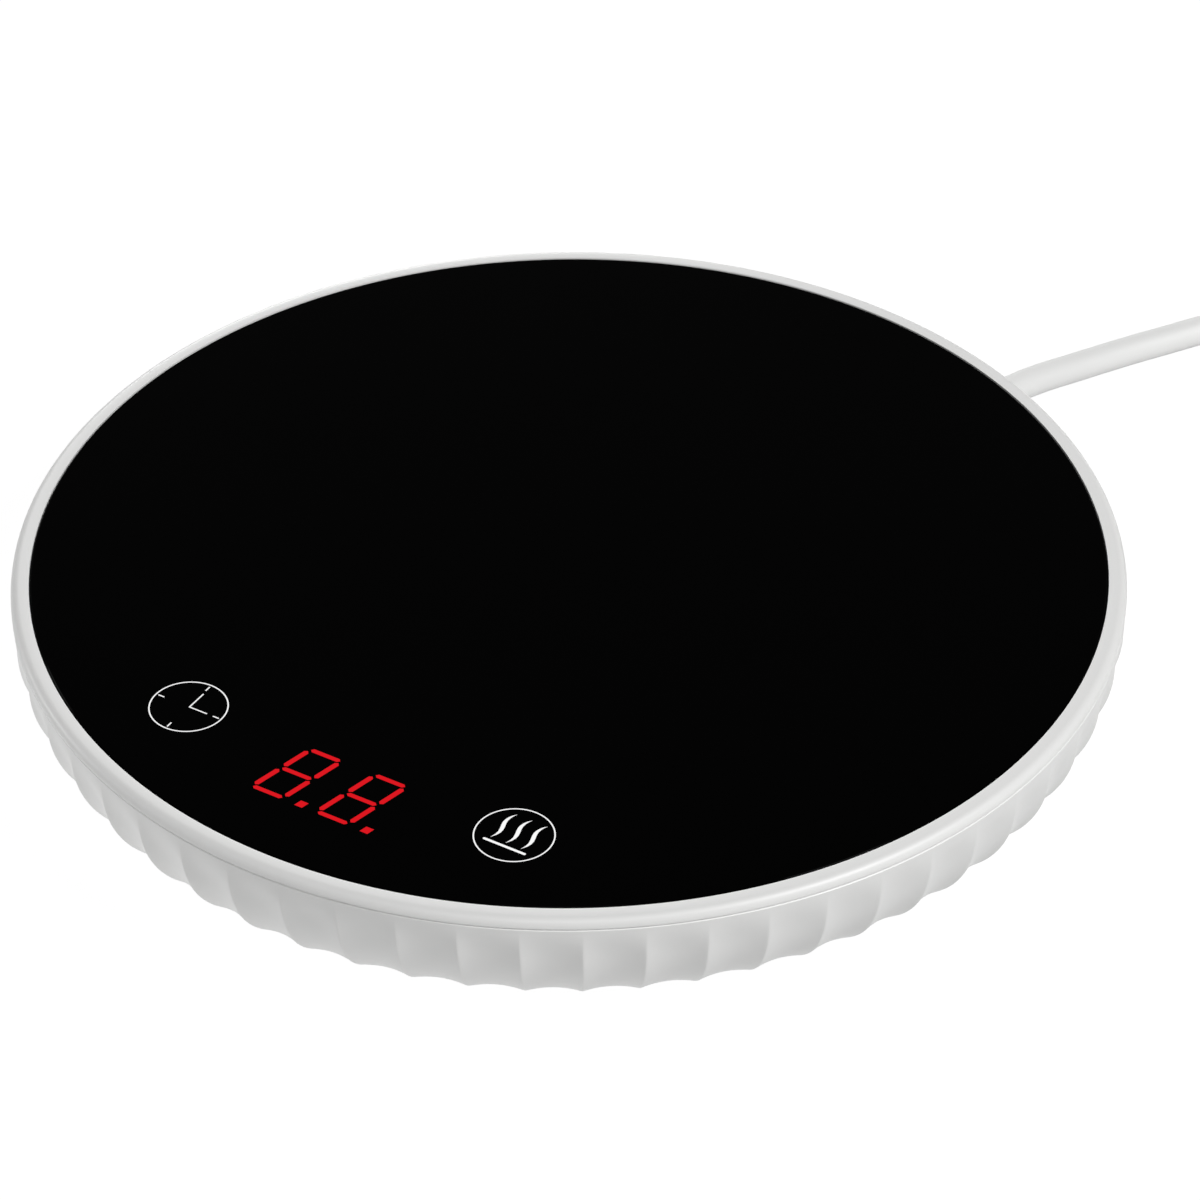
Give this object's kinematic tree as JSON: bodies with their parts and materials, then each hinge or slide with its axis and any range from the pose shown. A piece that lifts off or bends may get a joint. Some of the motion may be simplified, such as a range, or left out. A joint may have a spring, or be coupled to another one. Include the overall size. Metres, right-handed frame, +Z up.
{
  "type": "electric mug warmer",
  "caption": "Flat round mug warmer: a black glass hot plate with touch keys and a lit display, in a white fluted base on feet, with a white USB lead.",
  "frame": {"origin": "centre of the round base, on the surface that the feet stand on", "axes": "+Z up through the glass, -Y towards the user and the display, +X to the user's right"},
  "size_m": [0.16, 0.189, 0.017],
  "materials": {
    "white_plastic": "satin moulded",
    "black_glass": "polished, back-printed black",
    "grey_rubber": "matte",
    "white_cord": "soft satin jacket",
    "black_foam": "matte foam and tape",
    "zinc_steel": "zinc plated",
    "spreader_aluminium": "rolled",
    "heater_foil": "polyimide film",
    "fibre_pad": "pressed fibre",
    "black_epoxy": "moulded component",
    "board_green": "solder mask",
    "lit_red": "lit segment",
    "connector_ivory": "moulded",
    "gold_contact": "plated",
    "wire_white": "silicone insulation",
    "wire_dark": "insulation",
    "nickel_shell": "nickel plated"
  },
  "bodies": {
    "root": {"glass_panel": "black_glass", "panel_adhesive": "black_foam", "top_frame": "white_plastic", "base_shell": "white_plastic", "rubber_feet": "grey_rubber", "housing_screws": "zinc_steel", "heat_spreader": "spreader_aluminium", "heater_film": "heater_foil", "insulation_pad": "fibre_pad", "heater_carrier": "zinc_steel", "thermistor": "black_epoxy", "thermal_fuse": "black_epoxy", "control_board": "board_green", "display_module": "black_epoxy", "display_segments": "lit_red", "display_gasket": "black_foam", "touch_springs": "gold_contact", "mcu_chip": "black_epoxy", "power_mosfet": "black_epoxy", "filter_capacitor": "zinc_steel", "chip_resistors": "black_epoxy", "buzzer": "black_epoxy", "board_connectors": "connector_ivory", "board_screws": "zinc_steel", "heater_wires": "wire_white", "sensor_wires": "wire_dark", "power_wires": "wire_dark", "cord_grommet": "white_cord", "cord_tail": "white_cord", "cord_clamp": "white_plastic", "clamp_screws": "zinc_steel", "cord_lead": "white_cord", "cord_coil": "white_cord", "cord_end": "white_cord", "cord_tie": "black_foam", "plug_body": "white_cord", "plug_shell": "nickel_shell", "plug_tongue": "black_epoxy", "plug_contacts": "gold_contact"}
  },
  "joints": []
}
